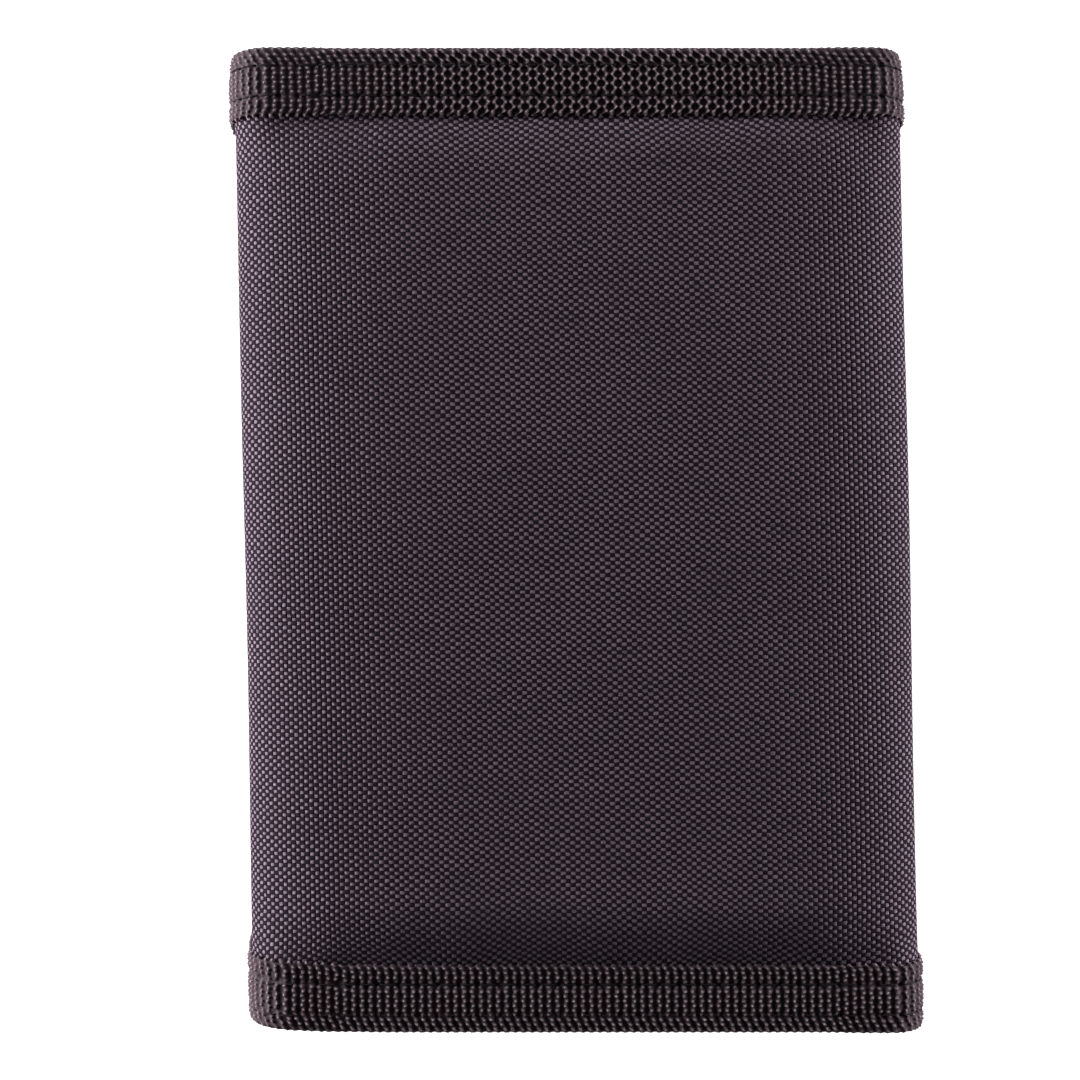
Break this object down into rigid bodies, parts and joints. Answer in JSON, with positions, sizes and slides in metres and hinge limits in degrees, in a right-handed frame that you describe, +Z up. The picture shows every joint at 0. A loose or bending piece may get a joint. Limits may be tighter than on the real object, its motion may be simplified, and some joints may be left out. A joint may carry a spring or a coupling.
{
  "type": "passport holder wallet",
  "caption": "Closed wrap-round travel wallet for a passport: padded woven cloth panels bound with ribbed tape, with two soft folds and a flap inside.",
  "frame": {"origin": "on the surface that the closed wallet lies on, under the middle of its box", "axes": "+X across the wallet from the wide fold to the narrow fold, +Y along the folds, +Z up out of the back panel"},
  "size_m": [0.1035, 0.148, 0.0168],
  "materials": {
    "shell_cloth": "coarse plain weave polyester, dark plum grey",
    "binding_tape": "ribbed woven binding tape, dark plum grey",
    "lining_cloth": "thin smooth woven lining",
    "foam": "soft closed cell foam sheet, sealed inside",
    "clear_vinyl": "clear soft vinyl sheet",
    "hook_tape": "stiff hook tape",
    "loop_tape": "soft loop tape",
    "thread": "bonded polyester thread"
  },
  "bodies": {
    "cover": {"cover_shell": "shell_cloth", "cover_foam": "foam", "cover_lining": "lining_cloth", "card_pocket_low": "lining_cloth", "card_pocket_middle": "lining_cloth", "card_pocket_high": "lining_cloth", "hook_patch": "hook_tape", "cover_binding_top": "binding_tape", "cover_binding_bottom": "binding_tape", "cover_edge_binding": "binding_tape", "cover_stitching": "thread"},
    "cover_fold": {"cover_fold_shell": "shell_cloth", "cover_fold_lining": "lining_cloth", "cover_fold_binding_top": "binding_tape", "cover_fold_binding_bottom": "binding_tape", "cover_fold_stitching": "thread"},
    "back": {"back_shell": "shell_cloth", "back_foam": "foam", "back_lining": "lining_cloth", "passport_sleeve": "lining_cloth", "sleeve_trim": "binding_tape", "back_binding_top": "binding_tape", "back_binding_bottom": "binding_tape", "back_stitching": "thread"},
    "flap_fold": {"flap_fold_shell": "shell_cloth", "flap_fold_lining": "lining_cloth", "flap_fold_binding_top": "binding_tape", "flap_fold_binding_bottom": "binding_tape", "flap_fold_stitching": "thread"},
    "flap": {"flap_shell": "shell_cloth", "flap_foam": "foam", "flap_lining": "lining_cloth", "loop_patch": "loop_tape", "id_window": "clear_vinyl", "id_window_frame": "binding_tape", "flap_binding_top": "binding_tape", "flap_binding_bottom": "binding_tape", "flap_edge_binding": "binding_tape", "flap_stitching": "thread"}
  },
  "joints": [
    {"name": "cover_open", "type": "hinge", "parent": "cover", "child": "cover_fold", "pos_m": [-0.04948, 0, 0.00242], "axis": [0, -1, 0], "range_deg": [0, 90]},
    {"name": "back_open", "type": "hinge", "parent": "cover_fold", "child": "back", "pos_m": [-0.04948, 0, 0.01278], "axis": [0, -1, 0], "range_deg": [0, 90]},
    {"name": "flap_fold_open", "type": "hinge", "parent": "back", "child": "flap_fold", "pos_m": [0.04986, 0, 0.01316], "axis": [0, -1, 0], "range_deg": [0, 90]},
    {"name": "flap_open", "type": "hinge", "parent": "flap_fold", "child": "flap", "pos_m": [0.04986, 0, 0.00554], "axis": [0, -1, 0], "range_deg": [0, 90]}
  ],
  "couplings": [
    {"joint": "back_open", "follows": "cover_open", "ratio": 1},
    {"joint": "flap_fold_open", "follows": "cover_open", "ratio": 1},
    {"joint": "flap_open", "follows": "cover_open", "ratio": 1}
  ]
}
